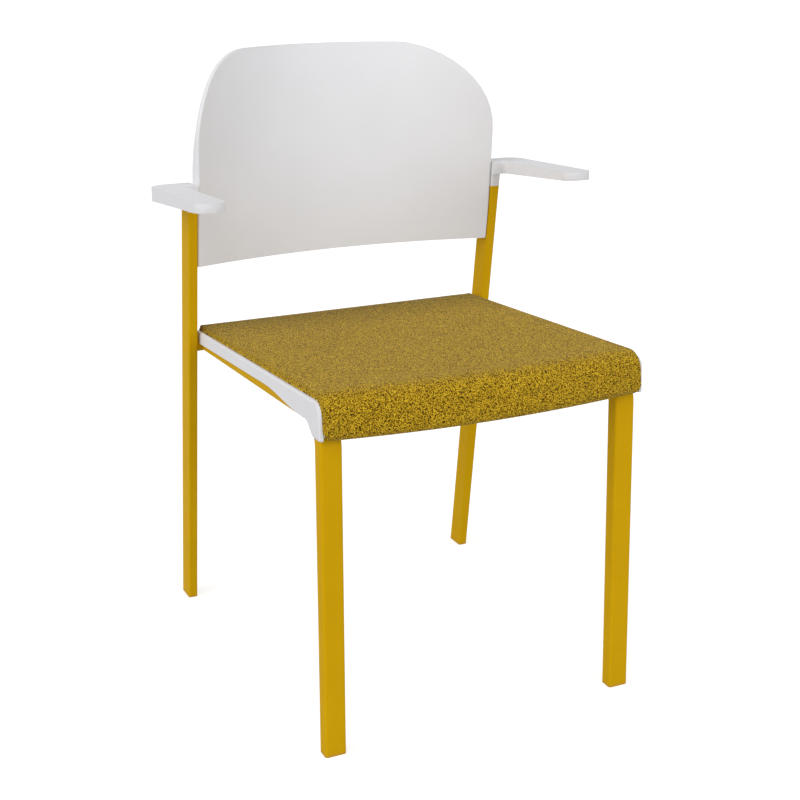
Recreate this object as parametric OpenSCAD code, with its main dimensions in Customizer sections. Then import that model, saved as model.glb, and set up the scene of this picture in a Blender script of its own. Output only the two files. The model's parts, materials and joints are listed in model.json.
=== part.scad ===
// Four-legged armchair: a painted steel frame carries a moulded seat shell with an upholstered
// pad, a moulded scooped back and two cantilevered armrests.
// Millimetres. +Z is up, the front faces -Y and the chair is mirrored about X = 0.
// The origin is on the floor under the middle of the chair.

/* [Front leg and side rail tube] */
// Width of the tube across the chair
leg_w = 28; // [25:0.5:31]
// Depth of the tube from front to back
leg_d = 20; // [17:0.5:21]
// Corner radius of the tube
leg_r = 3.5; // [2:0.5:5]
// Wall of the tube
leg_wall = 2; // [1.5:0.25:3]
// Centre of a front foot in from the shell's side
front_foot_in = 14.3; // [13:0.1:17]
// Centre of a front foot forward of the middle
front_foot_y = 256; // [248:1:260]
// Angle by which a front leg spreads outward as it goes down
leg_splay = 0.6; // [0:0.1:0.8]
// Angle by which a front leg reaches forward as it goes down
leg_rake = 1.5; // [0.5:0.1:2]
// Radius of the bend on the tube's centre line
bend_r = 36; // [30:1:40]
// Angle by which the side rail falls towards the back
rail_fall = 2.95; // [2.5:0.05:3.2]

/* [Rear leg tube] */
// Width of the flat tube across the chair
post_w = 13.5; // [12:0.5:14.5]
// Depth of the flat tube from front to back
post_d = 32.5; // [30:0.5:38]
// Corner radius of the flat tube
post_r = 2.5; // [2.25:0.25:4.25]
// Wall of the flat tube
post_wall = 2; // [1.5:0.25:2.25]
// Middle of the tube out from the shell's side
post_out = 10.2; // [8.5:0.1:15]
// Centre of a rear foot behind the middle
post_foot_y = 253; // [246:0.2:262]
// Angle by which the tube leans forward as it rises
post_lean = 8.1; // [7.8:0.1:8.4]
// Length of the tube along its lean, from the floor to the armrest
post_l = 615.5; // [600:0.5:630]

/* [Cross tubes] */
// Diameter of the rear cross tube
rear_tube_dia = 24; // [19:0.5:25]
// Centre of the rear cross tube below the seat rim
rear_tube_drop = 30.5; // [28:0.5:33]
// Diameter of the front cross tube
front_tube_dia = 18; // [14:0.5:19]
// Centre of the front cross tube behind the front bend
front_tube_back = 76; // [70:1:90]
// Wall of both cross tubes
cross_wall = 1.5; // [1:0.25:2.5]

/* [Glides] */
// Thickness of a glide under its tube
glide_t = 3; // [2:0.5:5]
// Height of a glide's plug inside its tube
glide_plug_h = 18; // [10:1:30]

/* [Seat shell] */
// Height of the seat rim above the origin
seat_h = 443; // [400:0.5:470]
// Angle by which the seat falls towards the back
seat_tilt = 3.9; // [3.6:0.1:4.2]
// Width of the shell
shell_w = 440; // [438:0.5:444]
// Front of the nose forward of the middle, along the seat
shell_front = 278; // [275:0.5:284]
// Rear edge behind the middle, along the seat
shell_back = 197.5; // [190:0.5:200]
// Wall of the shell
shell_wall = 3; // [2:0.25:3.25]
// Radius of the rim's outer edges
rim_r = 3; // [1:0.25:3.25]
// Radius of the bowed front edge, seen from above
bow_r = 1530; // [1200:10:2500]
// Upper radius of the nose
nose_top_r = 18; // [12:0.5:22]
// Lower radius of the nose
nose_low_r = 7; // [5:0.5:14]
// Depth of the nose below the rim, under the pad
nose_drop = 43; // [40:0.5:48]
// Depth of the cheeks that close the nose at the sides, at their rear
cheek_drop = 49; // [45:0.5:54]
// Radius of the lower corners of the nose and the cheeks, seen from the front
nose_corner_r = 6.5; // [3:0.5:7]
// Width of a cheek
cheek_w = 5; // [3:0.5:10]
// Rear of a cheek's foot behind the front of the nose
cheek_foot = 33; // [20:1:40]
// Corner radius at the rear, seen from above
shell_corner_r = 8; // [4:0.5:25]
// Depth of the side skirt at the back
skirt_h = 16.3; // [14:0.1:18]
// Depth of the side skirt just behind the nose
skirt_front_h = 28; // [24:0.5:32]
// Where the skirt starts to deepen, forward of the middle
skirt_start = 80; // [60:1:100]
// Where the skirt is deepest, forward of the middle
skirt_end = 207; // [195:1:212]
// Radius of the cove between the skirt and the nose
cove_r = 18; // [12:0.5:20]

/* [Seat tray and ribs] */
// Sides of the tray in from the shell's sides
tray_in = 39; // [38:0.5:50]
// Front of the tray forward of the middle, along the seat
tray_front = 212; // [190:1:216]
// Rear of the tray behind the middle, along the seat
tray_back = 166; // [140:1:170]
// Depth of the tray below the rim
tray_depth = 8; // [6:0.25:9]
// Corner radius of the tray
tray_r = 20; // [10:1:40]
// Thickness of a stiffening rib
rib_t = 2; // [1.5:0.25:3]
// Depth of a rib under the tray
rib_h = 7; // [4:0.5:9]
// Distance between the ribs that run from front to back
rib_pitch_x = 58; // [45:1:60]
// Distance between the ribs that run across
rib_pitch_y = 76; // [60:1:80]
// Radius of a screw boss
boss_r = 6.5; // [5.5:0.25:8]

/* [Seat board and pad] */
// Thickness of the board in the tray
board_t = 4; // [3:0.25:5]
// Corner radius of the board
board_r = 19; // [10:1:40]
// Thickness of the pad above the rim
pad_t = 8.8; // [7:0.1:14]
// Thickness of the pad on the nose
pad_nose_t = 6; // [4:0.1:8]
// Sides of the pad in from the shell's sides
pad_in = 3.25; // [1:0.25:6]
// Rear edge of the pad in from the shell's rear edge
pad_rear_in = 0.5; // [0.5:0.25:5]
// Corner radius of the pad at the rear, seen from above
pad_corner_r = 6; // [4:0.5:20]
// Corner radius of the pad at the bottom of the nose, seen from the front
pad_low_r = 9; // [4:0.5:14]
// Extra thickness of the pad under the middle of the nose
pad_low_crown = 3; // [0:0.25:6]
// Depth of the hollow that the pad's top dips to
pad_dish = 2.4; // [0:0.1:4]
// Angle round the lower nose at which the pad is tucked in
pad_tuck = 70; // [55:1:80]

/* [Back panel] */
// Height of the panel's lower edge, as a share of the way from the rear cross tube to the top
// of the rear legs
back_low_share = 0.588; // [0.56:0.002:0.61]
// Height of the panel
back_h = 281.5; // [262:0.5:302]
// Wall of the panel
back_wall = 4; // [3:0.25:5]
// Side edges before the rear legs' axis, at the lower edge
back_edge_fore = 16.5; // [12.5:0.1:18]
// Recline of the centre line at the lower edge
back_low_lean = 6.6; // [5:0.1:8]
// Recline of the centre line at the upper edge
back_top_lean = 26.3; // [20:0.1:30]
// Depth of the scoop at the lower edge, out to the full width of the panel
scoop_low = 31.75; // [28:0.25:37]
// Depth of the scoop at the upper edge, out to the full width of the panel
scoop_top = 170.2; // [130:0.2:190]
// Height of a round upper corner
corner_h = 119.5; // [110:0.5:139]
// Width of a round upper corner
corner_w = 107; // [95:0.5:124]
// Depth of the flange along each side
flange_d = 21.5; // [18:0.5:28]
// Height above the rear legs at which the flange starts to die away
flange_high = 41; // [31:1:51]
// Height above the rear legs at which the flange has died away
flange_end = 129; // [116:1:141]
// Radius of the front edge
back_edge_r = 3.5; // [2:0.25:5]

/* [Armrests] */
// Width of the pad of an armrest
arm_w = 40; // [32:0.5:48]
// Gap between the rear leg and the pad
arm_neck = 4.6; // [3:0.1:12]
// Front end of the pad before the rear leg's end
arm_front = 201.5; // [180:0.5:230]
// Rear end behind the middle of the rear leg's end
arm_back = 20.5; // [17:0.5:26]
// Front of the neck before the middle of the rear leg's end
neck_front = 22.5; // [17:0.5:27]
// Height of the top at the rear end above the rear leg's end
arm_z = 31.6; // [28:0.2:40]
// Angle by which the top rises towards the front
arm_rise = 3.4; // [0:0.1:5]
// Thickness at the rear end
arm_rear_t = 20; // [16:0.5:24]
// Thickness at the front end
arm_front_t = 11; // [8:0.5:16]
// Corner radius at the front end
arm_front_r = 18; // [8:0.5:19.5]
// Corner radius at the rear end
arm_rear_r = 24; // [5:0.5:28]
// Radius of the hollow corner at the neck
arm_neck_r = 6; // [3:0.5:9]
// Length of the spigot inside the rear leg
spigot_l = 32; // [30:1:45]

/* [Screws] */
// Shank diameter of a frame screw
screw_dia = 5; // [4:0.25:5]
// Head diameter of a frame screw
screw_head_dia = 9; // [8:0.25:9.5]
// Head height of a frame screw
screw_head_h = 2.6; // [2:0.1:3]
// Depth of a seat screw's thread in its boss
screw_bite = 6; // [4:0.25:6.5]
// Seat screws forward of the middle
seat_screw_front = 140; // [120:1:150]
// Seat screws behind the middle
seat_screw_back = 128; // [110:1:140]
// Lower back screw, as a share of the way from the panel's lower edge to the top of the legs
low_screw_share = 0.21; // [0.15:0.01:0.26]
// Upper back screw, as a share of the same way
high_screw_share = 0.82; // [0.78:0.01:0.85]
// Reach of a back screw into its leg
back_screw_l = 8; // [6:0.25:10]
// Shank diameter of a board screw
board_screw_dia = 4; // [3:0.25:4.5]
// Head diameter of a board screw
board_head_dia = 8; // [7:0.25:9]
// Board screws in from the tray's sides and ends
board_screw_in = 48; // [40:1:55]

/* [Hidden] */
// Clearance of a loose fit, of a plug or a hole, of a welded joint, of the soft pad, and of
// the shell round the side tubes
fit_gap = 0.3;
plug_gap = 0.15;
weld_gap = 0.1;
pad_gap = 0.3;
rail_gap = 0.3;
// Overrun of a cut
over = 5;
// Angles at which the cove between the skirt and the nose starts and ends
cove_turn = [75, 150];
// Draw of the section in the bend, and lap of the straight runs over its ends
bend_draw = 0.04;
bend_lap = 0.5;
// Facets of round forms
round_fn = 64;
bow_fn = 256;
arc_steps = 8;
// Bottom of the pad's tuck and thin end of a rolled edge, as shares of the full thickness
tuck_share = 0.75;
lip_share = 0.16;
// Width of the pad's rolled edge at the sides and at the rear, and its draw at the shell, as
// shares of the pad's thickness
edge_share = 0.9;
rear_edge_share = 0.5;
draw_share = 0.12;

frame_colour = [0.78, 0.60, 0.10];
shell_colour = [0.87, 0.87, 0.86];
fabric_colour = [0.66, 0.54, 0.16];
board_colour = [0.76, 0.62, 0.42];
screw_colour = [0.60, 0.60, 0.62];

// Places worked out from the sizes above
front_foot_x = shell_w/2 - front_foot_in;
post_x = shell_w/2 + post_out;
rear_tube_z = seat_h - rear_tube_drop;
rear_tube_y = post_foot_y - rear_tube_z*tan(post_lean);
bend_z = (rear_tube_z + (rear_tube_y + front_foot_y)*tan(rail_fall))
    / (1 + tan(leg_rake)*tan(rail_fall));
bend_y = -front_foot_y + bend_z*tan(leg_rake);
bend_x = front_foot_x - bend_z*tan(leg_splay);
bend_turn = 90 + rail_fall - leg_rake;
bend_tangent = bend_r*tan(bend_turn/2);
rail_l = (rear_tube_y - bend_y)/cos(rail_fall) - bend_tangent;
front_tube_y = bend_y + front_tube_back;
front_tube_z = bend_z - front_tube_back*tan(rail_fall);
post_inner_x = post_x - post_w/2;
post_outer_x = post_x + post_w/2;
nose_y = -shell_front + nose_top_r;
tray_w = shell_w - 2*tray_in;
board_z = -tray_depth;
pad_w = shell_w - 2*pad_in;
pad_back = shell_back - pad_rear_in;
arm_x = post_outer_x + arm_neck;
arm_l = arm_front + arm_back;
joint_y = post_foot_y - post_l*sin(post_lean);
joint_z = post_l*cos(post_lean);
back_w = 2*(post_inner_x - fit_gap);
back_low_z = rear_tube_z + back_low_share*(joint_z - rear_tube_z);
back_top_z = back_low_z + back_h;
back_low_y = scoop_low - back_edge_fore;
corner_z = back_top_z - corner_h;
arm_top_rear = joint_z + arm_z;
arm_top_front = arm_top_rear + arm_l*tan(arm_rise);

// Height of the seat rim and the slope of the rail at a place behind the middle
function rail_z(y) = bend_z - (y - bend_y)*tan(rail_fall);

// Points of an arc about [cx, cy] from angle a0 to a1
function arc(cx, cy, r, a0, a1, steps) =
    [for (i = [0:steps]) let (a = a0 + (a1 - a0)*i/steps) [cx + r*cos(a), cy + r*sin(a)]];

function smooth(t) = let (s = min(1, max(0, t))) s*s*(3 - 2*s);

// Rectangle with round corners, centred
module round_rect(w, d, r) {
    square([w - 2*r, d], center = true);
    square([w, d - 2*r], center = true);
    for (sx = [-1, 1], sy = [-1, 1])
        translate([sx*(w/2 - r), sy*(d/2 - r)]) circle(r, $fn = round_fn);
}

module right_and_left(side) {
    if (side > 0) children();
    else mirror([1, 0, 0]) children();
}

// Frame with its origin at the front bend: the rail runs along +Y
module in_bend_frame() {
    translate([bend_x, bend_y, bend_z])
        rotate([-rail_fall, 0, 0])
            rotate([0, -leg_splay, 0]) children();
}

// Frame that ends the bend: the leg runs along -Y
module in_leg_frame() {
    in_bend_frame()
        translate([0, bend_tangent, -bend_r])
            rotate([bend_turn, 0, 0])
                translate([0, 0, bend_r]) children();
}

// The leg's straight run, longer than the floor allows: it is cut at the glide
module leg_run(w, d, r) {
    in_leg_frame() translate([0, bend_lap, 0])
        rotate([90, 0, 0]) linear_extrude(bend_z) round_rect(w, d, r);
}

// The section is drawn in a little round the bend, and the straight runs lap over its ends
module bend_run(w, d, r) {
    in_bend_frame()
        translate([0, bend_tangent, -bend_r])
            rotate([180, -90, 0])
                rotate_extrude(angle = bend_turn, $fn = bow_fn)
                    translate([bend_r, 0]) round_rect(d - 2*bend_draw, w - 2*bend_draw, r);
}

module rail_run(w, d, r, extra) {
    in_bend_frame()
        translate([0, bend_tangent - bend_lap, 0])
            rotate([-90, 0, 0]) linear_extrude(rail_l + bend_lap + extra) round_rect(w, d, r);
}

module floor_slab(z0, z1) {
    translate([0, 0, z0]) linear_extrude(z1 - z0) square(4*bend_z, center = true);
}

module below_floor(z) {
    translate([0, 0, z - bend_z]) linear_extrude(bend_z) square(4*bend_z, center = true);
}

module rear_tube_bar(dia) {
    translate([0, rear_tube_y, rear_tube_z])
        rotate([0, 90, 0]) cylinder(h = 2*post_inner_x, d = dia, center = true, $fn = round_fn);
}

// Where a seat screw passes the rail: the origin is on the rail's axis, +Z is square to the rail
module at_seat_screws(places = [-seat_screw_front, seat_screw_back]) {
    for (y = places)
        translate([bend_x, y, rail_z(y)]) rotate([-rail_fall, 0, 0]) children();
}

module side_tube() {
    inner_w = leg_w - 2*leg_wall;
    inner_d = leg_d - 2*leg_wall;
    inner_r = leg_r - leg_wall;
    color(frame_colour) difference() {
        union() {
            leg_run(leg_w, leg_d, leg_r);
            bend_run(leg_w, leg_d, leg_r);
            rail_run(leg_w, leg_d, leg_r, 0);
        }
        union() {
            leg_run(inner_w, inner_d, inner_r);
            bend_run(inner_w, inner_d, inner_r);
            rail_run(inner_w, inner_d, inner_r, over);
        }
        rear_tube_bar(rear_tube_dia + 2*weld_gap);
        below_floor(glide_t);
        at_seat_screws()
            cylinder(h = leg_d + 2*over, d = screw_dia + fit_gap, center = true, $fn = round_fn);
    }
}

// Room that the shell leaves round a side tube
module side_tube_room() {
    w = leg_w + 2*rail_gap;
    d = leg_d + 2*rail_gap;
    r = leg_r + rail_gap;
    leg_run(w, d, r);
    bend_run(w, d, r);
    rail_run(w, d, r, 0);
}

module front_glide() {
    plug_w = leg_w - 2*leg_wall - 2*plug_gap;
    plug_d = leg_d - 2*leg_wall - 2*plug_gap;
    color(frame_colour) {
        intersection() {
            leg_run(leg_w, leg_d, leg_r);
            floor_slab(0, glide_t);
        }
        intersection() {
            leg_run(plug_w, plug_d, leg_r - leg_wall);
            floor_slab(0, glide_t + glide_plug_h);
        }
    }
}

// Frame of a rear leg: its axis is +Z, its foot is at the origin
module in_post_frame() {
    translate([post_x, post_foot_y, 0]) rotate([post_lean, 0, 0]) children();
}

module post_run(w, d, r, z0, z1) {
    in_post_frame() translate([0, 0, z0]) linear_extrude(z1 - z0) round_rect(w, d, r);
}

// A back screw's axis runs outward along +Z here, from the leg's inner face
module at_back_screws() {
    for (share = [low_screw_share, high_screw_share])
        in_post_frame()
            translate([-post_w/2, 0,
                    (back_low_z + share*(joint_z - back_low_z))/cos(post_lean)])
                rotate([0, 90, 0]) children();
}

module back_screw_hole() {
    at_back_screws()
        translate([0, 0, -over]) cylinder(h = back_screw_l + over + fit_gap,
            d = screw_dia + fit_gap, $fn = round_fn);
}

module rear_leg() {
    color(frame_colour) difference() {
        post_run(post_w, post_d, post_r, -over, post_l);
        post_run(post_w - 2*post_wall, post_d - 2*post_wall, post_r - post_wall,
            -2*over, post_l + over);
        below_floor(glide_t);
        back_screw_hole();
    }
}

module rear_glide() {
    plug_w = post_w - 2*post_wall - 2*plug_gap;
    plug_d = post_d - 2*post_wall - 2*plug_gap;
    color(frame_colour) {
        intersection() {
            post_run(post_w, post_d, post_r, -over, post_l);
            floor_slab(0, glide_t);
        }
        intersection() {
            post_run(plug_w, plug_d, post_r - post_wall, -over, post_l);
            floor_slab(0, glide_t + glide_plug_h);
        }
    }
}

module rear_cross_tube() {
    color(frame_colour) difference() {
        rear_tube_bar(rear_tube_dia);
        translate([0, rear_tube_y, rear_tube_z]) rotate([0, 90, 0])
            cylinder(h = 2*(post_inner_x + over), d = rear_tube_dia - 2*cross_wall,
                center = true, $fn = round_fn);
    }
}

module front_cross_tube() {
    tube_l = 2*(bend_x - leg_w/2 - leg_d/2*sin(leg_splay) - weld_gap);
    color(frame_colour)
        translate([0, front_tube_y, front_tube_z]) rotate([0, 90, 0]) difference() {
            cylinder(h = tube_l, d = front_tube_dia, center = true, $fn = round_fn);
            cylinder(h = tube_l + over, d = front_tube_dia - 2*cross_wall,
                center = true, $fn = round_fn);
        }
}

// Seat frame: +Y runs back along the seat and Z = 0 is the rim
module in_seat_frame() {
    translate([0, 0, seat_h]) rotate([-seat_tilt, 0, 0]) children();
}

// Revolves a profile drawn as [distance behind the nose, height] about the bow's centre
module bowed(points) {
    bow_turn = 2*asin(shell_w/(bow_r - shell_front - shell_back - over));
    translate([0, bow_r - shell_front, 0])
        rotate([0, 0, -90 - bow_turn/2])
            rotate_extrude(angle = bow_turn, $fn = bow_fn)
                polygon([for (p = points) [bow_r - p[0], p[1]]]);
}

seat_l = shell_front + shell_back + over;

// Nose of the shell, solid, with its upper and lower radii
function nose_outline(drop) = concat(
    [[seat_l, -drop], [seat_l, 0]],
    arc(nose_top_r, -nose_top_r, nose_top_r, 90, 180, arc_steps),
    arc(nose_low_r, nose_low_r - drop, nose_low_r, 180, 270, arc_steps));

// Space inside the nose, open at the bottom behind the turned-in lip
nose_space = concat(
    [[seat_l, -cheek_drop - over], [seat_l, -shell_wall]],
    arc(nose_top_r, -nose_top_r, nose_top_r - shell_wall, 90, 180, arc_steps),
    arc(nose_low_r, nose_low_r - nose_drop, nose_low_r - shell_wall, 180, 270, arc_steps),
    [[nose_low_r, -cheek_drop - over]]);

// Lower edge of the side skirt, drawn as [along the seat, height]
skirt_outline = concat(
    [[shell_back + over, over], [shell_back + over, -skirt_h]],
    [for (i = [0:arc_steps]) let (t = i/arc_steps)
        [-skirt_start - t*(skirt_end - skirt_start),
         -skirt_h - (skirt_front_h - skirt_h)*smooth(t)]],
    arc(-skirt_end - cove_r/2, -skirt_front_h - cove_r, cove_r, cove_turn[0], cove_turn[1],
        arc_steps),
    [[-shell_front + cheek_foot, -cheek_drop], [-shell_front - over, -nose_drop],
        [-shell_front - over, over]]);

module across(points, w) {
    rotate([90, 0, 90]) linear_extrude(w, center = true) polygon(points);
}

module seat_plan(w, y0, y1, r) {
    translate([0, (y0 + y1)/2]) round_rect(w, y1 - y0, r);
}

// Seen from above, the shell's corners are round where the sides meet the bowed front
module shell_plan() {
    corner_x = shell_w/2 - rim_r;
    corner_y = bow_r - shell_front - sqrt(pow(bow_r - rim_r, 2) - corner_x*corner_x);
    difference() {
        seat_plan(shell_w, -shell_front - 2*shell_corner_r, shell_back, shell_corner_r);
        for (sx = [-1, 1]) difference() {
            translate([sx*(corner_x + rim_r), corner_y - shell_front])
                square([2*rim_r, 2*shell_front], center = true);
            translate([sx*corner_x, corner_y]) circle(rim_r, $fn = round_fn);
        }
    }
}

// Seen from the front, the rim's side edges and the nose's lower corners are round
module shell_front_view(drop) {
    side_l = drop - nose_corner_r - rim_r;
    translate([-shell_w/2, nose_corner_r - drop]) square([shell_w, side_l]);
    translate([nose_corner_r - shell_w/2, -drop - over])
        square([shell_w - 2*nose_corner_r, drop + over - rim_r]);
    translate([rim_r - shell_w/2, nose_corner_r - drop])
        square([shell_w - 2*rim_r, side_l + rim_r + over]);
    for (sx = [-1, 1]) {
        translate([sx*(shell_w/2 - rim_r), -rim_r]) circle(rim_r, $fn = round_fn);
        translate([sx*(shell_w/2 - nose_corner_r), nose_corner_r - drop])
            circle(nose_corner_r, $fn = round_fn);
    }
}

module shell_solid(drop = nose_drop) {
    intersection() {
        bowed(nose_outline(drop));
        across(skirt_outline, shell_w);
        translate([0, 0, -drop - over]) linear_extrude(drop + 2*over) shell_plan();
        rotate([90, 0, 0]) linear_extrude(4*shell_front, center = true) shell_front_view(drop);
    }
}

// The cheeks reach lower than the nose between them, which the pad is tucked under
module cheeks() {
    intersection() {
        shell_solid(cheek_drop);
        for (sx = [-1, 1])
            translate([sx*(shell_w - cheek_w)/2, (nose_y - skirt_end)/2, -cheek_drop/2])
                cube([cheek_w, 2*(shell_front - skirt_end), 2*cheek_drop], center = true);
    }
}

module shell_space() {
    intersection() {
        bowed(nose_space);
        translate([0, 0, -cheek_drop - over]) linear_extrude(cheek_drop + over - shell_wall)
            seat_plan(shell_w - 2*shell_wall, -shell_front - 2*shell_corner_r,
                shell_back - shell_wall, shell_corner_r - shell_wall);
    }
}

module tray_block(grow, z0, z1) {
    translate([0, 0, z0]) linear_extrude(z1 - z0)
        seat_plan(tray_w + 2*grow, -tray_front - grow, tray_back + grow, tray_r + grow);
}

module tray_ribs() {
    rib_z = -tray_depth - shell_wall - rib_h;
    rib_y = (front_tube_y + front_tube_dia)/cos(seat_tilt);
    intersection() {
        tray_block(shell_wall/2, rib_z, -tray_depth);
        translate([-tray_w, rib_y, rib_z]) cube([2*tray_w, tray_back - rib_y, rib_h + over]);
        union() {
            for (i = [-2:2])
                translate([i*rib_pitch_x - rib_t/2, -tray_front, rib_z])
                    cube([rib_t, tray_front + tray_back, rib_h + over]);
            for (i = [0:3])
                translate([-tray_w/2, tray_back - rib_t - (i + 0.5)*rib_pitch_y, rib_z])
                    cube([tray_w, rib_t, rib_h + over]);
        }
    }
}

module nose_ribs() {
    for (i = [-2:2])
        translate([i*rib_pitch_x - rib_t/2, -shell_front, -nose_drop/2])
            cube([rib_t, shell_front - tray_front + rib_t, nose_drop/2]);
}

module board_screw_places() {
    for (sx = [-1, 1], y = [board_screw_in - tray_front, tray_back - board_screw_in])
        translate([sx*(tray_w/2 - board_screw_in), y, 0]) children();
}

module seat_shell() {
    boss_l = seat_h;
    color(shell_colour) difference() {
        union() {
            in_seat_frame() difference() {
                union() {
                    shell_solid();
                    cheeks();
                }
                shell_space();
            }
            in_seat_frame() intersection() {
                shell_solid();
                union() {
                    tray_block(shell_wall, -tray_depth - shell_wall, 0);
                    tray_ribs();
                    nose_ribs();
                }
            }
            intersection() {
                in_seat_frame() shell_solid();
                for (side = [-1, 1]) right_and_left(side) at_seat_screws()
                    cylinder(h = nose_drop + leg_d, r = boss_r, $fn = round_fn);
            }
        }
        in_seat_frame() {
            tray_block(0, -tray_depth, over);
            board_screw_places() translate([0, 0, -nose_drop])
                cylinder(h = nose_drop, d = board_screw_dia + fit_gap, $fn = round_fn);
        }
        rear_tube_bar(rear_tube_dia + 2*fit_gap);
        for (side = [-1, 1]) right_and_left(side) {
            side_tube_room();
            at_seat_screws() translate([0, 0, leg_d/2 - over])
                cylinder(h = over + screw_bite + fit_gap, d = screw_dia + fit_gap,
                    $fn = round_fn);
        }
    }
}

module seat_board() {
    color(board_colour) in_seat_frame() difference() {
        translate([0, 0, board_z]) linear_extrude(board_t)
            seat_plan(tray_w - 2*fit_gap, fit_gap - tray_front, tray_back - fit_gap, board_r);
        board_screw_places() translate([0, 0, board_z - over])
            cylinder(h = 2*over + board_t, d = board_screw_dia + fit_gap, $fn = round_fn);
    }
}

// Pad: cross-sections follow the shell from the rear edge over the seat and round the nose.
// A station is [inner point, outward direction, thickness, thickness share, width cut, in tray,
// share of the crown, how far back the outer point lies of the inner one].
// Its rolled edges are drawn in a little where they meet the shell.
roll_shares = [lip_share, 0.42, 0.66, 0.88, 1];
function roll_share(s, edge = edge_share) = let (t = (s - lip_share)/(1 - lip_share))
    edge*(1 - sqrt(1 - t*t)) + draw_share*(1 - t)*(1 - t);
function corner_cut(d, r) = let (t = max(0, 1 - d/r)) r*(1 - sqrt(1 - t*t));
function top_station(y, share, tray, shift = 0) = [[y, pad_gap], [0, 1], pad_t, share,
    corner_cut(pad_back - y - shift, pad_corner_r), tray, 0, shift];
function nose_station(cy, cz, r, a, t, share, cut, low) =
    [[cy + (r + pad_gap)*cos(a), cz + (r + pad_gap)*sin(a)], [cos(a), sin(a)],
        t, share, cut, 0, low, 0];
tuck_steps = 5;
top_shares = [0.7, 0.4, 0.1, -0.2, -0.5, -0.8];
roll_last = len(roll_shares) - 1;
pad_stations = concat(
    [for (i = [0:roll_last])
        let (s = roll_shares[i],
             inner = draw_share + (rear_edge_share - draw_share)*i/roll_last)
        top_station(pad_back - pad_t*inner, s, 0,
            pad_t*(inner - roll_share(s, rear_edge_share)))],
    [top_station(pad_back - pad_corner_r, 1, 0)],
    [top_station(tray_back + fit_gap, 1, 0), top_station(tray_back - fit_gap, 1, 1)],
    [for (s = top_shares) top_station(s*tray_back, 1, 1)],
    [top_station(-tray_front + fit_gap, 1, 1), top_station(-tray_front - fit_gap, 1, 0)],
    [top_station((nose_y - tray_front)/2, 1, 0)],
    [for (i = [0:4]) let (t = i/4)
        nose_station(nose_y, -nose_top_r, nose_top_r, 90 + 90*t,
            pad_t + (pad_nose_t - pad_t)*t, 1, 0, 0)],
    [for (i = [0:tuck_steps]) let (t = i/tuck_steps)
        nose_station(-shell_front + nose_low_r, nose_low_r - nose_drop, nose_low_r,
            180 + pad_tuck*t, pad_nose_t, 1 - (1 - tuck_share)*t*t,
            corner_cut(pad_low_r*(1 - t), pad_low_r), smooth(t))]);

// Places across the pad: the outer face, then the inner face with its step into the tray
pad_half = pad_w/2;
step_half = tray_w/2 - fit_gap;
mid_shares = [0.82, 0.66, 0.48, 0.3, 0.14, 0];
inner_half = concat(
    [for (s = [1, 0.75, 0.5, 0.25, 0]) step_half + fit_gap + s*(pad_half - step_half - 2*fit_gap)],
    [step_half], [for (s = [0.8, 0.6, 0.4, 0.2, 0]) s*step_half]);
edge_n = len(roll_shares);
half_n = edge_n + len(mid_shares);
pad_n = 2*half_n - 1;
function from_side(k) = min(k, pad_n - 1 - k);
function side_of(k) = k < half_n ? 1 : -1;
function side_share(j) = j < edge_n ? roll_shares[j] : 1;
function outer_x(s, j) = let (half = pad_half - s[4])
    j < edge_n ? half - s[2]*s[3]*roll_share(roll_shares[j])
        : mid_shares[j - edge_n]*(half - s[2]*s[3]*roll_share(1));
// The bow grows along the seat: none at the rear edge, all of it at the nose
function bow(y, x) = let (r = bow_r - shell_front - y)
    smooth((pad_back - y)/(pad_back + tray_front))*(r - sqrt(r*r - x*x));
function dip(y, x) = pad_dish*smooth(1 - abs(x)/pad_half)
    *smooth((pad_back - y)/(pad_back - tray_back))*smooth((y - nose_y)/(-nose_y - tray_front));
// The pad is fuller under the middle of the nose
function crown(s, x) = s[6]*pad_low_crown*(1 - pow(x/pad_half, 2));
function pad_outer(s, k) =
    let (x = side_of(k)*outer_x(s, from_side(k)), y = s[0][0],
         h = (s[2] + crown(s, x))*s[3]*side_share(from_side(k)) - dip(y, x))
    [x, y + s[7] + h*s[1][0] + bow(y, x), s[0][1] + h*s[1][1]];
function pad_inner(s, k) =
    let (j = from_side(k), x = side_of(k)*inner_half[j]*(1 - s[4]/pad_half), y = s[0][0],
         drop = s[5] == 1 && j >= edge_n ? tray_depth - board_t : 0)
    [x, y + bow(y, x), s[0][1] - drop];
pad_points = [for (s = pad_stations)
    each concat([for (k = [0:pad_n - 1]) pad_outer(s, k)],
        [for (k = [pad_n - 1:-1:0]) pad_inner(s, k)])];
pad_loop = 2*pad_n;
pad_last = len(pad_stations) - 1;
pad_faces = concat(
    [for (i = [0:pad_last - 1], k = [0:pad_loop - 1])
        let (a = i*pad_loop + k, b = i*pad_loop + (k + 1) % pad_loop) each
        [[a, b + pad_loop, b], [a, a + pad_loop, b + pad_loop]]],
    [for (k = [0:pad_n - 2]) let (a = k, b = pad_loop - 1 - k) each
        [[a, b - 1, b], [a, a + 1, b - 1]]],
    [for (k = [0:pad_n - 2]) let (a = pad_last*pad_loop + k,
        b = pad_last*pad_loop + pad_loop - 1 - k) each
        [[a, b, b - 1], [a, b - 1, a + 1]]]);

module seat_pad() {
    color(fabric_colour) in_seat_frame() polyhedron(pad_points, pad_faces, convexity = 6);
}

// Back panel: level outlines, each a front arc and a back arc that end in side flanges
function back_share(z) = (z - back_low_z)/back_h;
function back_centre_y(z) = let (d = z - back_low_z)
    post_foot_y - back_low_z*tan(post_lean) + back_low_y + d*tan(back_low_lean)
    + d*d*(tan(back_top_lean) - tan(back_low_lean))/(2*back_h);
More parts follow.
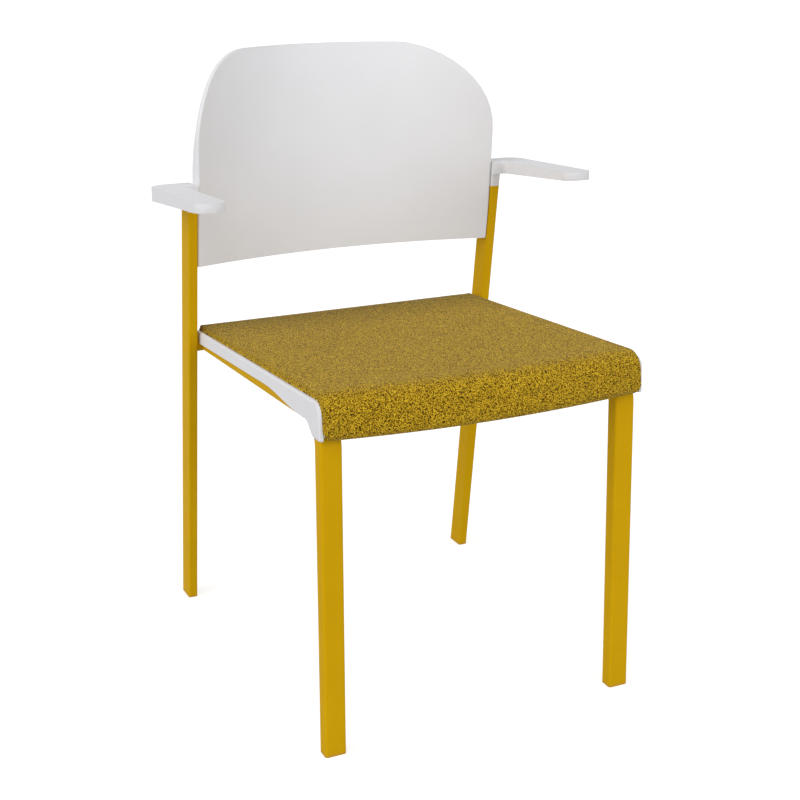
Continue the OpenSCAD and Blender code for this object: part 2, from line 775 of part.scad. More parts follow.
// The bend of the front face, one over its radius, goes evenly from the lower to the upper edge
function scoop_bend(depth) = 2*depth/(pow(back_w/2, 2) + depth*depth);
function back_radius(z) = 1/(scoop_bend(scoop_low)
    + (scoop_bend(scoop_top) - scoop_bend(scoop_low))*back_share(z));
function back_half(z) = z <= corner_z ? back_w/2
    : back_w/2 - corner_w*(1 - sqrt(max(0, 1 - pow((z - corner_z)/corner_h, 2))));
function flange_depth(z) = back_wall + (flange_d - back_wall)
    *(1 - smooth((z - joint_z - flange_high)/(flange_end - flange_high)));
function arc_y(z, x, grow) = let (r = back_radius(z))
    back_centre_y(z) - r + sqrt(pow(r + grow, 2) - x*x);
back_arc_steps = 24;
edge_steps = 3;
function back_level(z) =
    let (half = back_half(z),
         edge = back_edge_r*(1 - smooth((z - corner_z)/corner_h)/2),
         front_half = half - edge,
         front_y = arc_y(z, front_half, 0),
         inner_half_x = half - back_wall,
         root_y = arc_y(z, inner_half_x, back_wall/cos(back_low_lean)),
         flange_y = max(front_y + flange_depth(z), root_y + back_wall/8),
         right = concat(
            [for (i = [1:edge_steps]) let (a = 90*i/edge_steps)
                [front_half + edge*sin(a), front_y + edge*(1 - cos(a))]],
            [[half, flange_y], [inner_half_x, flange_y]]))
    concat(
        [for (i = [-back_arc_steps/2:back_arc_steps/2])
            let (x = front_half*2*i/back_arc_steps) [x, arc_y(z, x, 0)]],
        right,
        [for (i = [back_arc_steps/2:-1:-back_arc_steps/2])
            let (x = inner_half_x*2*i/back_arc_steps)
                [x, arc_y(z, x, back_wall/cos(back_low_lean))]],
        [for (i = [len(right) - 1:-1:0]) [-right[i][0], right[i][1]]]);
straight_levels = 6;
corner_levels = 12;
back_levels = concat(
    [for (i = [0:straight_levels - 1])
        back_low_z + (corner_z - back_low_z)*i/straight_levels],
    [for (i = [0:corner_levels]) corner_z + corner_h*sin(90*i/corner_levels)]);
back_loops = [for (z = back_levels) [for (p = back_level(z)) [p[0], p[1], z]]];
back_n = len(back_loops[0]);
back_last = len(back_levels) - 1;
front_n = back_arc_steps + 1;
right_n = edge_steps + 2;
back_first = front_n + right_n;
back_end = back_first + front_n - 1;
// A level outline closed as a cap: strips between the two arcs and a fan at each flange
back_cap = concat(
    [for (i = [0:front_n - 2]) [i, i + 1, back_end - 1 - i, back_end - i]],
    [for (k = [front_n - 1:back_first - 2]) [back_first, k, k + 1]],
    [for (k = [back_end + 1:back_n - 1]) [back_end, k, (k + 1) % back_n]]);
back_faces = concat(
    back_cap,
    [for (face = back_cap) [for (i = [len(face) - 1:-1:0]) back_last*back_n + face[i]]],
    [for (i = [0:back_last - 1], k = [0:back_n - 1])
        let (a = i*back_n + k, b = i*back_n + (k + 1) % back_n) each
        [[a, a + back_n, b + back_n], [a, b + back_n, b]]]);

module back_panel() {
    color(shell_colour) difference() {
        polyhedron([for (loop = back_loops) each loop], back_faces, convexity = 6);
        for (side = [-1, 1]) right_and_left(side) at_back_screws()
            translate([0, 0, -2*over])
                cylinder(h = 3*over, d = screw_dia + fit_gap, $fn = round_fn);
    }
}

// Armrest seen from above, with Y = 0 at the middle of the rear leg's end
module arm_plan() {
    translate([arm_x + arm_front_r, -arm_front])
        square([arm_w - 2*arm_front_r, arm_l/2]);
    translate([arm_x, arm_front_r - arm_front])
        square([arm_w, arm_l - arm_front_r - arm_rear_r]);
    translate([arm_x, arm_back - 2*arm_rear_r]) square([arm_w - arm_rear_r, 2*arm_rear_r]);
    for (x = [arm_x + arm_front_r, arm_x + arm_w - arm_front_r])
        translate([x, arm_front_r - arm_front]) circle(arm_front_r, $fn = round_fn);
    translate([arm_x + arm_w - arm_rear_r, arm_back - arm_rear_r])
        circle(arm_rear_r, $fn = round_fn);
    translate([post_inner_x, -neck_front])
        square([arm_x - post_inner_x + arm_w - arm_rear_r, arm_back + neck_front]);
    translate([arm_x - arm_neck_r, -neck_front - arm_neck_r]) difference() {
        square(arm_neck_r + arm_front_r/2);
        circle(arm_neck_r, $fn = round_fn);
        translate([arm_neck_r, -over]) square([arm_w, arm_neck_r + over]);
    }
}

// Armrest seen from the side, drawn as [along the chair, height]
arm_side = [[-arm_front - over, arm_top_front - arm_front_t],
    [arm_back + over, arm_top_rear - arm_rear_t],
    [arm_back + over, arm_top_rear - over*tan(arm_rise)],
    [-arm_front - over, arm_top_front + over*tan(arm_rise)]];

module armrest() {
    root_l = (arm_z - arm_rear_t/2)/cos(post_lean);
    color(shell_colour) difference() {
        union() {
            translate([0, joint_y, 0]) intersection() {
                translate([0, 0, joint_z]) linear_extrude(arm_top_front) arm_plan();
                across(arm_side, 4*arm_x);
            }
            post_run(post_w, post_d, post_r, post_l, post_l + root_l);
            post_run(post_w - 2*(post_wall + plug_gap), post_d - 2*(post_wall + plug_gap),
                post_r - post_wall, post_l - spigot_l, post_l + root_l);
        }
        back_screw_hole();
    }
}

module screw(shank_dia, shank_l, head_dia, head_h) {
    cylinder(h = shank_l, d = shank_dia, $fn = round_fn);
    translate([0, 0, -head_h]) cylinder(h = head_h, d = head_dia, $fn = round_fn);
}

module seat_screws() {
    color(screw_colour) for (side = [-1, 1]) right_and_left(side) at_seat_screws()
        translate([0, 0, -leg_d/2])
            screw(screw_dia, leg_d + screw_bite, screw_head_dia, screw_head_h);
}

module board_screws() {
    color(screw_colour) in_seat_frame() board_screw_places()
        translate([0, 0, board_z - shell_wall])
            screw(board_screw_dia, shell_wall + board_t - fit_gap, board_head_dia,
                screw_head_h);
}

module back_screws() {
    flange_in = post_inner_x - back_w/2 + back_wall;
    color(screw_colour) for (side = [-1, 1]) right_and_left(side) at_back_screws()
        translate([0, 0, -flange_in])
            screw(screw_dia, flange_in + back_screw_l, screw_head_dia, screw_head_h);
}

mirror([1, 0, 0]) side_tube();  // left_side_tube
side_tube();  // right_side_tube
mirror([1, 0, 0]) rear_leg();  // left_rear_leg
rear_leg();  // right_rear_leg
rear_cross_tube();
front_cross_tube();
seat_shell();
seat_board();
seat_pad();
back_panel();
mirror([1, 0, 0]) armrest();  // left_armrest
armrest();  // right_armrest
mirror([1, 0, 0]) front_glide();  // left_front_glide
front_glide();  // right_front_glide
mirror([1, 0, 0]) rear_glide();  // left_rear_glide
rear_glide();  // right_rear_glide
seat_screws();
board_screws();
back_screws();
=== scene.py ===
"""Looks of the four-legged armchair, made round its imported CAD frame.

Metres, +Z up, the front faces -Y and the chair is mirrored about X = 0.
"""
import json
import math

import bmesh
import bpy
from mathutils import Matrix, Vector


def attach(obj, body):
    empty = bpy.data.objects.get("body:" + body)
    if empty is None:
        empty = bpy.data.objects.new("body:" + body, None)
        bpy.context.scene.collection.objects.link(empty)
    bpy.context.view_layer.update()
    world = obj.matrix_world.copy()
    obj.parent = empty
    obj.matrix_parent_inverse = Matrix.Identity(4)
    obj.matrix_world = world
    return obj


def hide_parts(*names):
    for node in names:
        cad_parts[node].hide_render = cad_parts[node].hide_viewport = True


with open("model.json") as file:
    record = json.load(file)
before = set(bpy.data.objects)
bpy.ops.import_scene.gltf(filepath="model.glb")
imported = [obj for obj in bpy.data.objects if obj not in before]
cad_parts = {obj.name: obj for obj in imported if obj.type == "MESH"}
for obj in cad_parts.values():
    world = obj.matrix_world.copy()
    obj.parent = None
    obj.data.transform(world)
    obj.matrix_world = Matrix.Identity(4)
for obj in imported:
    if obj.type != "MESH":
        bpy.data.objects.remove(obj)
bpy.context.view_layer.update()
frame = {"nodes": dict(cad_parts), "record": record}
NODES = frame["nodes"]
BODY = "root"
MM = 0.001

# The seat's own frame: +Y runs back along the seat and Z = 0 is the shell's rim
SEAT_HEIGHT = 443 * MM
SEAT_TILT = math.radians(3.9)

# Outline of the shell that the pad is wrapped over, the same as the CAD shell's
SHELL_FRONT = 278 * MM
NOSE_TOP_RADIUS = 18 * MM
NOSE_LOW_RADIUS = 7 * MM
NOSE_DROP = 43 * MM
BOW_RADIUS = 1530 * MM
TRAY_FRONT = 212 * MM
TRAY_BACK = 166 * MM

# Pad. Its rolled edges are tighter and its lower front corners rounder than its solid's
PAD_HALF = 216.75 * MM
PAD_BACK = 197 * MM
PAD_REAR_CORNER = 3.5 * MM
PAD_LOW_CORNER_WIDTH = 12 * MM
PAD_LOW_CORNER_HEIGHT = 16 * MM
PAD_THICKNESS = 8.8 * MM
PAD_NOSE_THICKNESS = 6 * MM
PAD_LOW_CROWN = 3 * MM
PAD_DISH = 2.4 * MM
PAD_TUCK = math.radians(70)
PAD_GAP = 0.3 * MM
# Shares of the pad's thickness: the rolled edges' width, how far they draw in at the shell, the
# height of their lip there, and what is left at the end of the tuck
SIDE_EDGE_SHARE = 0.45
REAR_EDGE_SHARE = 0.4
DRAW_SHARE = 0.12
LIP_SHARE = 0.16
TUCK_SHARE = 0.75
# Rough side of the pad's faces, and rows round an edge, the bend, the nose's face and the tuck
STEP = 4.5 * MM
EDGE_STEPS = 6
BEND_STEPS = 10
FACE_STEPS = 6
TUCK_STEPS = 8
# The cover starts this much too thin, and a cloth simulation swells it by no more than the cap
SLACK = 0.8 * MM
SWELL_CAP = 1.2 * MM
CLOTH_PRESSURE = 4.0
CLOTH_FRAMES = 20

# Rounding of the moulded pieces' edges, on corners sharper than the angle
ROUNDING = {
    "seat_shell": 1.0 * MM,
    "left_armrest": 2.5 * MM,
    "right_armrest": 2.5 * MM,
    "back_panel": 0.8 * MM,
}
ROUNDED_ANGLE = math.radians(40)
ROUNDING_STEPS = 3
FLAT_ANGLE = math.radians(0.2)
WELD_DISTANCE = 0.01 * MM

# The photo's camera: its turn to the right and its fall below the level, in radians
CAMERA_PLACE = Vector((-817.4 * MM, -1758.6 * MM, 1004.9 * MM))
CAMERA_TURN = 0.43771
CAMERA_FALL = 0.32355
SENSOR_WIDTH = 36.0
FOCAL_LENGTH = 67.18

# Studio. A soft light has a bearing from the front towards the right, a height and a strength
SURROUND_STRENGTH = 0.55
FLOOR_GLOW = 0.66
FLOOR_HALF = 40.0
SOFT_LIGHTS = {
    "left": (math.radians(-78), math.radians(28), 1.4),
    "right": (math.radians(25), math.radians(18), 1.1),
    "rear": (math.radians(180), math.radians(35), 0.25),
}
LIGHT_SPREAD = math.radians(60)

# Most of a noise texture's values lie between these
NOISE_REACH = (0.3, 0.7)


def smooth(t):
    """Smooth step from 0 to 1."""
    t = min(1.0, max(0.0, t))
    return t * t * (3 - 2 * t)


def to_part_frame(point):
    """A point of the seat's own frame in the part's frame."""
    x, y, z = point
    c, s = math.cos(SEAT_TILT), math.sin(SEAT_TILT)
    return Vector((x, y * c + z * s, SEAT_HEIGHT - y * s + z * c))


def new_object(name, verts, faces, material_name):
    """A smooth-shaded mesh object with one of the materials."""
    mesh = bpy.data.meshes.new(name)
    mesh.from_pydata(verts, [], faces)
    mesh.validate()
    obj = bpy.data.objects.new(name, mesh)
    bpy.context.scene.collection.objects.link(obj)
    mesh.polygons.foreach_set("use_smooth", [True] * len(mesh.polygons))
    mesh.materials.append(MATERIALS[material_name])
    return obj


class Shader:
    """Builds one material's node tree, a node a call."""

    def __init__(self, name):
        self.material = bpy.data.materials.new(name)
        self.material.use_nodes = True
        self.tree = self.material.node_tree
        self.tree.nodes.clear()
        self.surface = self.add("ShaderNodeBsdfPrincipled")
        output = self.add("ShaderNodeOutputMaterial")
        self.link(self.surface.outputs["BSDF"], output.inputs["Surface"])
        self.place = self.add("ShaderNodeTexCoord").outputs["Object"]

    def add(self, kind, **settings):
        node = self.tree.nodes.new(kind)
        for key, value in settings.items():
            setattr(node, key, value)
        return node

    def link(self, source, target):
        self.tree.links.new(source, target)

    def feed(self, socket, value):
        """Sets a socket to a number or colour, or links it."""
        if isinstance(value, bpy.types.NodeSocket):
            self.link(value, socket)
        else:
            socket.default_value = value

    def set(self, **inputs):
        """Sets the surface's own sockets; a name's underscores stand for spaces."""
        for key, value in inputs.items():
            self.feed(self.surface.inputs[key.replace("_", " ")], value)

    def maths(self, operation, a, b=0.0):
        node = self.add("ShaderNodeMath", operation=operation)
        self.feed(node.inputs[0], a)
        self.feed(node.inputs[1], b)
        return node.outputs[0]

    def noise(self, size, detail=2.0, roughness=0.5, at=None):
        """Noise whose blobs are about size metres across."""
        node = self.add("ShaderNodeTexNoise")
        self.link(at or self.place, node.inputs["Vector"])
        node.inputs["Scale"].default_value = 1 / size
        node.inputs["Detail"].default_value = detail
        node.inputs["Roughness"].default_value = roughness
        return node.outputs["Fac"]

    def span(self, value, low, high, to_low=0.0, to_high=1.0):
        """Maps low..high on to to_low..to_high."""
        node = self.add("ShaderNodeMapRange")
        self.feed(node.inputs["Value"], value)
        for name, number in (("From Min", low), ("From Max", high),
                             ("To Min", to_low), ("To Max", to_high)):
            node.inputs[name].default_value = number
        return node.outputs["Result"]

    def drift(self, size, detail, to_low=0.0, to_high=1.0):
        """Noise that reaches from to_low to to_high."""
        return self.span(self.noise(size, detail), *NOISE_REACH, to_low, to_high)

    def mix(self, share, a, b):
        node = self.add("ShaderNodeMix", data_type="RGBA")
        self.feed(node.inputs["Factor"], share)
        self.feed(node.inputs["A"], a)
        self.feed(node.inputs["B"], b)
        return node.outputs["Result"]

    def bump(self, height, depth, strength=1.0):
        """Raises the surface by depth metres where height is 1."""
        node = self.add("ShaderNodeBump")
        self.link(height, node.inputs["Height"])
        node.inputs["Distance"].default_value = depth
        node.inputs["Strength"].default_value = strength
        self.link(node.outputs["Normal"], self.surface.inputs["Normal"])


def srgb(r, g, b):
    """A colour given as screen values from 0 to 255, as the shader's linear one."""
    def linear(value):
        value /= 255
        return value / 12.92 if value <= 0.04045 else ((value + 0.055) / 1.055) ** 2.4
    return linear(r), linear(g), linear(b), 1.0


def powder_coat():
    """Mustard powder coat: a fine orange peel and a faint drift of colour."""
    s = Shader("powder_coat")
    s.set(Base_Color=s.mix(s.drift(60 * MM, 3), srgb(207, 161, 6), srgb(211, 165, 8)))
    s.set(Roughness=s.drift(4 * MM, 2, 0.42, 0.5), IOR=1.16, Specular_IOR_Level=0.3)
    s.bump(s.noise(1.4 * MM, 1), 0.05 * MM)
    return s.material


def grained_plastic(name, light, dark, roughness):
    """Injection-moulded plastic with a fine matt grain."""
    s = Shader(name)
    s.set(Base_Color=s.mix(s.drift(90 * MM, 3), light, dark))
    s.set(Roughness=s.drift(5 * MM, 2, roughness - 0.04, roughness + 0.04), IOR=1.46)
    s.bump(s.noise(0.7 * MM, 2), 0.04 * MM)
    return s.material


def yarn_colours(s, along, across, pitch, run):
    """Random number for each length of one yarn: yarns lie side by side at the pitch."""
    yarn = s.maths("FLOOR", s.maths("DIVIDE", across, pitch))
    shift = s.add("ShaderNodeTexWhiteNoise", noise_dimensions="1D")
    s.link(yarn, shift.inputs["W"])
    piece = s.maths("FLOOR", s.maths("ADD", s.maths("DIVIDE", along, run), shift.outputs["Value"]))
    both = s.add("ShaderNodeCombineXYZ")
    s.link(yarn, both.inputs["X"])
    s.link(piece, both.inputs["Y"])
    tone = s.add("ShaderNodeTexWhiteNoise", noise_dimensions="2D")
    s.link(both.outputs["Vector"], tone.inputs["Vector"])
    return tone.outputs["Value"]


def melange_fabric():
    """Plain weave of flecked yarns, laid out along the pad by its "lay" lengths."""
    yarn_pitch, weave_depth = 0.88 * MM, 0.25 * MM
    fleck_run, fleck_share, fleck_blur = 1.5 * MM, 0.45, 0.07
    stray_size, stray_reach = 9 * MM, 1.2 * MM
    painted_shadow_share, painted_shadow_from, painted_shadow_to = 0.64, 10 * MM, 130 * MM
    s = Shader("melange_fabric")
    lay = s.add("ShaderNodeAttribute", attribute_name="lay")
    split = s.add("ShaderNodeSeparateXYZ")
    s.link(lay.outputs["Vector"], split.inputs["Vector"])
    across, run = split.outputs["X"], split.outputs["Y"]
    # The yarns stray a little from straight lines
    stray = s.maths("MULTIPLY", s.maths("SUBTRACT", s.noise(stray_size, 1), 0.5), stray_reach)
    a, b = s.maths("ADD", across, stray), s.maths("SUBTRACT", run, stray)
    warp = yarn_colours(s, b, a, yarn_pitch, fleck_run)
    weft = yarn_colours(s, a, b, yarn_pitch, fleck_run)
    wave_a, wave_b = (s.maths("SINE", s.maths("MULTIPLY", length, math.pi / yarn_pitch))
                      for length in (a, b))
    ridges = s.maths("MULTIPLY", s.maths("ABSOLUTE", wave_a), s.maths("ABSOLUTE", wave_b))
    # The warp is over the weft at every second crossing
    over = s.maths("GREATER_THAN", s.maths("MULTIPLY", wave_a, wave_b), 0.0)
    tone = s.add("ShaderNodeMix", data_type="FLOAT")
    s.link(over, tone.inputs["Factor"])
    s.link(weft, tone.inputs["A"])
    s.link(warp, tone.inputs["B"])
    plain = s.span(tone.outputs["Result"], fleck_share - fleck_blur, fleck_share)
    ground = s.mix(s.span(tone.outputs["Result"], 0.4, 1.0), srgb(196, 153, 12), srgb(248, 205, 54))
    yarns = s.mix(plain, srgb(60, 36, 4), ground)
    # Painted shade: the hollows between the yarns are darker
    raised = s.span(ridges, 0.0, 0.5, 0.55, 1.0)
    weave = s.mix(raised, srgb(84, 60, 4), yarns)
    # Painted shadow: the cover is darker towards its rear edge, where the back panel shades it
    painted_shadow_weave = s.mix(painted_shadow_share, (0.0, 0.0, 0.0, 1.0), weave)
    s.set(Base_Color=s.mix(s.span(run, painted_shadow_from, painted_shadow_to), painted_shadow_weave, weave))
    s.set(Roughness=0.9, Specular_IOR_Level=0.1)
    s.set(Sheen_Weight=0.15, Sheen_Roughness=0.4, Sheen_Tint=srgb(248, 234, 195))
    s.bump(ridges, weave_depth, 0.8)
    return s.material


def plywood():
    """Birch plywood with long grain across the board."""
    s = Shader("plywood")
    stretch = s.add("ShaderNodeMapping")
    s.link(s.place, stretch.inputs["Vector"])
    stretch.inputs["Scale"].default_value = (1.0, 14.0, 14.0)
    grain = s.noise(60 * MM, 6, 0.65, stretch.outputs["Vector"])
    s.set(Base_Color=s.mix(s.span(grain, 0.35, 0.65), srgb(168, 132, 88), srgb(206, 176, 132)))
    s.set(Roughness=0.7)
    s.bump(grain, 0.1 * MM)
    return s.material


def zinc_steel():
    """Zinc-plated steel, turned and a little clouded."""
    s = Shader("zinc_steel")
    s.set(Base_Color=s.mix(s.noise(2 * MM, 3), srgb(168, 170, 174), srgb(205, 205, 203)))
    s.set(Roughness=s.drift(1 * MM, 2, 0.25, 0.4), Metallic=1.0)
    s.bump(s.noise(0.4 * MM, 2), 0.02 * MM)
    return s.material


MATERIALS = {
    "frame_paint": powder_coat(),
    "glide_plastic": grained_plastic("glide_plastic", srgb(204, 152, 14), srgb(196, 146, 16), 0.5),
    "shell_plastic": grained_plastic("shell_plastic", srgb(229, 229, 232), srgb(226, 226, 229),
                                     0.5),
    "seat_fabric": melange_fabric(),
    "board_wood": plywood(),
    "screw_steel": zinc_steel(),
}


def shade_smooth(obj):
    """Shades a CAD piece smooth by a modifier, which leaves its mesh alone."""
    tree = bpy.data.node_groups.new("smooth_shading", "GeometryNodeTree")
    tree.is_modifier = True
    for way in ("INPUT", "OUTPUT"):
        tree.interface.new_socket("Geometry", in_out=way, socket_type="NodeSocketGeometry")
    bare = tree.nodes.new("GeometryNodeRemoveAttribute")
    bare.inputs["Name"].default_value = "custom_normal"
    faces = tree.nodes.new("GeometryNodeSetShadeSmooth")
    edges = tree.nodes.new("GeometryNodeSetShadeSmooth")
    faces.domain, edges.domain = "FACE", "EDGE"
    chain = [tree.nodes.new("NodeGroupInput"), bare, faces, edges,
             tree.nodes.new("NodeGroupOutput")]
    for node, following in zip(chain, chain[1:]):
        tree.links.new(node.outputs["Geometry"], following.inputs["Geometry"])
    obj.modifiers.new("smooth_shading", "NODES").node_group = tree


def dress_nodes():
    """Gives every CAD node its slot's material and, on moulded pieces, rounded edges."""
    for part in frame["record"]["subparts"]:
        obj = NODES[part["node"]]
        obj.data.materials.clear()
        obj.data.materials.append(MATERIALS[part["material_slot"]])
    shade_smooth(NODES["back_panel"])
    for name, radius in ROUNDING.items():
        obj = NODES[name]
        weld = obj.modifiers.new("weld", "WELD")
        weld.merge_threshold = WELD_DISTANCE
        flat = obj.modifiers.new("flat", "DECIMATE")
        flat.decimate_type = "DISSOLVE"
        flat.angle_limit = FLAT_ANGLE
        bevel = obj.modifiers.new("bevel", "BEVEL")
        bevel.width = radius
        bevel.segments = ROUNDING_STEPS
        bevel.limit_method = "ANGLE"
        bevel.angle_limit = ROUNDED_ANGLE
        bevel.harden_normals = True


def bow(y, x):
    """How far the bowed front carries a point back: none at the rear edge, all at the nose."""
    radius = BOW_RADIUS - SHELL_FRONT - y
    share = smooth((PAD_BACK - y) / (PAD_BACK + TRAY_FRONT))
    return share * (radius - math.sqrt(radius * radius - x * x))


def rolled_edge(edge_share):
    """Places up a rolled edge, as (distance in from the border, height), shares of thickness."""
    places = []
    for i in range(EDGE_STEPS + 1):
        t = i / EDGE_STEPS
        inward = edge_share * (1 - math.cos(math.pi / 2 * t)) + DRAW_SHARE * (1 - t) ** 2
        places.append((inward, LIP_SHARE + (1 - LIP_SHARE) * math.sin(math.pi / 2 * t)))
    return places


def corner_cut(distance, length, width):
    """How far a rounded corner draws a side in, at a distance from the end."""
    t = max(0.0, 1 - distance / length)
    return width * (1 - math.sqrt(1 - t * t))


def pad_rows():
    """Rows of the pad from its rear edge to its tuck.

    A row is (place on the shell, outward direction, thickness, share of it, width cut,
    share of the low crown, run from the rear edge).
    """
    rows = []
    # The rolled rear edge
    for inward, share in rolled_edge(REAR_EDGE_SHARE):
        y = PAD_BACK - PAD_THICKNESS * inward
        rows.append(((y, PAD_GAP), (0.0, 1.0), PAD_THICKNESS, share,
                     corner_cut(PAD_BACK - y, PAD_REAR_CORNER, PAD_REAR_CORNER), 0.0,
                     PAD_THICKNESS * (inward + share - 1)))
    # The top, as far as the nose
    start = rows[-1][0][0]
    nose_y = NOSE_TOP_RADIUS - SHELL_FRONT
    count = round((start - nose_y) / STEP)
    for i in range(1, count + 1):
        y = start + (nose_y - start) * i / count
        rows.append(((y, PAD_GAP), (0.0, 1.0), PAD_THICKNESS, 1.0,
                     corner_cut(PAD_BACK - y, PAD_REAR_CORNER, PAD_REAR_CORNER), 0.0, PAD_BACK - y))
    # The bend over the nose
    run = PAD_BACK - nose_y
    radius = NOSE_TOP_RADIUS + PAD_GAP
    for i in range(1, BEND_STEPS + 1):
        t = i / BEND_STEPS
        out = (math.cos(math.pi / 2 * (1 + t)), math.sin(math.pi / 2 * (1 + t)))
        thickness = PAD_THICKNESS + (PAD_NOSE_THICKNESS - PAD_THICKNESS) * t
        rows.append(((nose_y + radius * out[0], radius * out[1] - NOSE_TOP_RADIUS), out,
                     thickness, 1.0, 0.0, 0.0,
                     run + (radius + thickness) * math.pi / 2 * t))
    # The nose's face
    run = rows[-1][-1]
    drop = NOSE_DROP - NOSE_TOP_RADIUS - NOSE_LOW_RADIUS
    radius = NOSE_LOW_RADIUS + PAD_GAP
    tuck_height = (radius + PAD_NOSE_THICKNESS) * math.sin(PAD_TUCK)
    for i in range(1, FACE_STEPS + 1):
        t = i / FACE_STEPS
        cut = corner_cut(tuck_height + drop * (1 - t), PAD_LOW_CORNER_HEIGHT, PAD_LOW_CORNER_WIDTH)
        rows.append(((-SHELL_FRONT - PAD_GAP, -NOSE_TOP_RADIUS - drop * t), (-1.0, 0.0),
                     PAD_NOSE_THICKNESS, 1.0, cut, 0.0, run + drop * t))
    # The tuck under the nose
    run += drop
    for i in range(1, TUCK_STEPS + 1):
        t = i / TUCK_STEPS
        out = (math.cos(math.pi + PAD_TUCK * t), math.sin(math.pi + PAD_TUCK * t))
        height = tuck_height - (radius + PAD_NOSE_THICKNESS) * math.sin(PAD_TUCK * t)
        rows.append(((NOSE_LOW_RADIUS - SHELL_FRONT + radius * out[0],
                      NOSE_LOW_RADIUS - NOSE_DROP + radius * out[1]), out,
                     PAD_NOSE_THICKNESS, 1 - (1 - TUCK_SHARE) * t * t,
                     corner_cut(height, PAD_LOW_CORNER_HEIGHT, PAD_LOW_CORNER_WIDTH), smooth(t),
                     run + (radius + PAD_NOSE_THICKNESS) * PAD_TUCK * t))
    return rows


def pad_columns():
    """Columns from left to right: (side, inward, height share) or (place, None, 1) between."""
    edge = rolled_edge(SIDE_EDGE_SHARE)
    count = round(2 * PAD_HALF / STEP)
    middle = [(2 * i / count - 1, None, 1.0) for i in range(1, count)]
    return ([(-1, inward, share) for inward, share in edge] + middle
            + [(1, inward, share) for inward, share in reversed(edge)])


def dish(x, y, run):
    """Depth of the pad's hollow, which dies out at the sides, the rear edge and the nose."""
    front = (y - NOSE_TOP_RADIUS + SHELL_FRONT) / (SHELL_FRONT - NOSE_TOP_RADIUS - TRAY_FRONT)
    side, rear = 1 - abs(x) / PAD_HALF, run / (PAD_BACK - TRAY_BACK)
    return PAD_DISH * smooth(side) * smooth(rear) * smooth(front)


def pad_mesh():
    """Points, faces, weave lengths and held points of the pad; the cover's points come first."""
    rows, columns = pad_rows(), pad_columns()
    outer, inner, lay = [], [], []
    for (y, z), out, thickness, share, cut, low, run in rows:
        half = PAD_HALF - cut
        flat_half = half - SIDE_EDGE_SHARE * thickness * share
        for side, inward, height_share in columns:
            if inward is None:
                x = side * flat_half
                roll = 0.0
            else:
                x = side * (half - inward * thickness * share)
                roll = thickness * share * (SIDE_EDGE_SHARE - inward + 1 - height_share)
            crown = low * PAD_LOW_CROWN * (1 - (x / PAD_HALF) ** 2)
            height = (thickness + crown - SLACK) * share * height_share - dish(x, y, run)
            back = bow(y, x)
            outer.append(to_part_frame((x, y + height * out[0] + back, z + height * out[1])))
            inner.append(to_part_frame((x, y + back, z)))
            lay.append((x + math.copysign(roll, x), run, 0.0))
    wide, deep = len(columns), len(rows)
    cover_count = wide * deep
    faces = []
    for i in range(deep - 1):
        for j in range(wide - 1):
            a = i * wide + j
            faces.append((a, a + wide, a + wide + 1, a + 1))
            faces.append((cover_count + a, cover_count + a + 1,
                          cover_count + a + wide + 1, cover_count + a + wide))
    border = list(range(wide))
    border += [i * wide + wide - 1 for i in range(1, deep)]
    border += [(deep - 1) * wide + j for j in range(wide - 2, -1, -1)]
    border += [i * wide for i in range(deep - 2, 0, -1)]
    for a, b in zip(border, border[1:] + border[:1]):
        faces.append((a, b, cover_count + b, cover_count + a))
    return outer + inner, faces, lay + lay, set(border) | set(range(cover_count, 2 * cover_count))


def swell(obj, held):
    """Swells the cover by a short cloth simulation; the held points stay where they are."""
    group = obj.vertex_groups.new(name="held")
    group.add(sorted(held), 1.0, "REPLACE")
    cloth = obj.modifiers.new("cloth", "CLOTH")
    cloth.settings.use_pressure = True
    cloth.settings.uniform_pressure_force = CLOTH_PRESSURE
    cloth.settings.vertex_group_mass = group.name
    cloth.settings.effector_weights.gravity = 0.0
    scene = bpy.context.scene
    for step in range(1, CLOTH_FRAMES + 1):
        scene.frame_set(step)
    moved = obj.evaluated_get(bpy.context.evaluated_depsgraph_get()).data
    for vertex, target in zip(obj.data.vertices, [v.co.copy() for v in moved.vertices]):
        move = target - vertex.co
        if move.length > SWELL_CAP:
            move *= SWELL_CAP / move.length
        vertex.co += move
    obj.modifiers.remove(cloth)
    scene.frame_set(1)


def seat_pad():
    """Upholstered pad: a cover with rolled edges and a shallow dish that wraps the shell's nose."""
    points, faces, lay, held = pad_mesh()
    obj = new_object("seat_cushion", points, faces, "seat_fabric")
    layer = obj.data.attributes.new("lay", "FLOAT_VECTOR", "POINT")
    layer.data.foreach_set("vector", [number for place in lay for number in place])
    bm = bmesh.new()
    bm.from_mesh(obj.data)
    bmesh.ops.recalc_face_normals(bm, faces=bm.faces)
    bm.to_mesh(obj.data)
    bm.free()
    swell(obj, held)
    smoother = obj.modifiers.new("smoother", "SUBSURF")
    smoother.levels = smoother.render_levels = 1
    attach(obj, BODY)
    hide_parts("seat_pad")


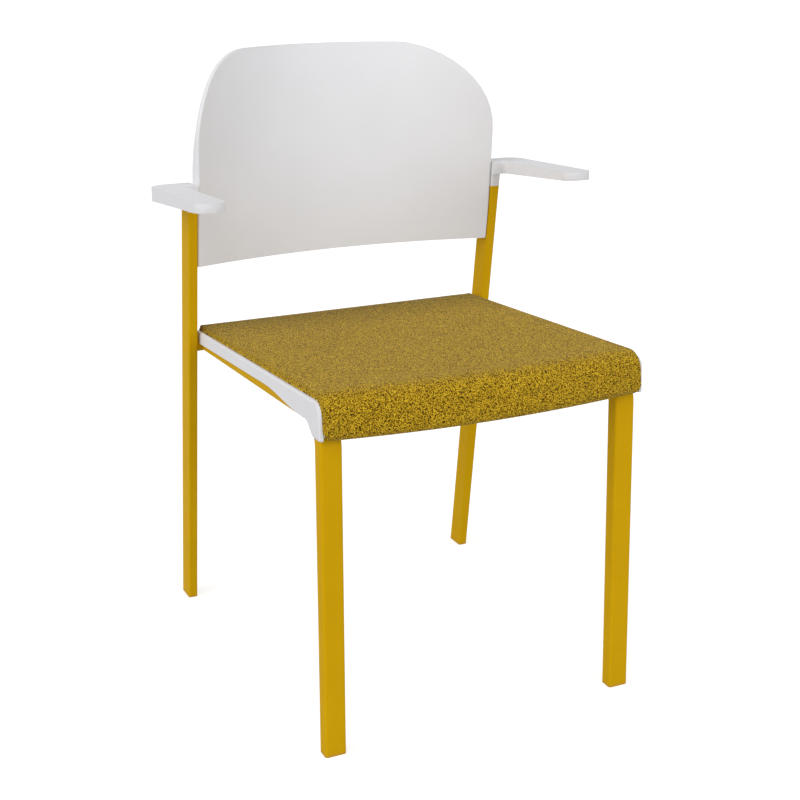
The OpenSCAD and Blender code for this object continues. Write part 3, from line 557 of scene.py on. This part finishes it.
def camera():
    """The photo's view, from the chair's front left and from above the seat."""
    data = bpy.data.cameras.new("camera")
    data.sensor_width = SENSOR_WIDTH
    data.lens = FOCAL_LENGTH
    obj = bpy.data.objects.new("camera", data)
    obj.location = CAMERA_PLACE
    obj.rotation_euler = (math.pi / 2 - CAMERA_FALL, 0.0, -CAMERA_TURN)
    bpy.context.scene.collection.objects.link(obj)
    bpy.context.scene.camera = obj


def soft_light(name, bearing, height, strength):
    """A wide soft light from far off."""
    data = bpy.data.lights.new(name, "SUN")
    data.energy = strength
    data.angle = LIGHT_SPREAD
    obj = bpy.data.objects.new(name, data)
    obj.rotation_euler = (math.pi / 2 - height, 0.0, bearing)
    bpy.context.scene.collection.objects.link(obj)


def studio():
    """White room: a bright surround, a pale floor and wide soft lights round the chair."""
    world = bpy.data.worlds.new("studio")
    world.use_nodes = True
    background = world.node_tree.nodes["Background"]
    background.inputs["Color"].default_value = (1.0, 1.0, 1.0, 1.0)
    background.inputs["Strength"].default_value = SURROUND_STRENGTH
    bpy.context.scene.world = world
    s = Shader("studio_floor")
    s.set(Base_Color=srgb(190, 190, 190), Roughness=0.9)
    s.set(Emission_Color=(1.0, 1.0, 1.0, 1.0), Emission_Strength=FLOOR_GLOW)
    s.bump(s.noise(300 * MM), 0.1 * MM)
    corners = [(FLOOR_HALF * x, FLOOR_HALF * y, 0) for x, y in ((-1, -1), (1, -1), (1, 1), (-1, 1))]
    mesh = bpy.data.meshes.new("studio_floor")
    mesh.from_pydata(corners, [], [(0, 1, 2, 3)])
    mesh.materials.append(s.material)
    floor = bpy.data.objects.new("studio_floor", mesh)
    bpy.context.scene.collection.objects.link(floor)
    # The floor's own glow whitens the background and doesn't light the chair
    lit = bpy.data.collections.new("lit_by_floor")
    lit.objects.link(floor)
    floor.light_linking.receiver_collection = lit
    for name, (bearing, height, strength) in SOFT_LIGHTS.items():
        soft_light(name, bearing, height, strength)
    bpy.context.scene.view_settings.view_transform = "Standard"


dress_nodes()
seat_pad()
studio()
camera()
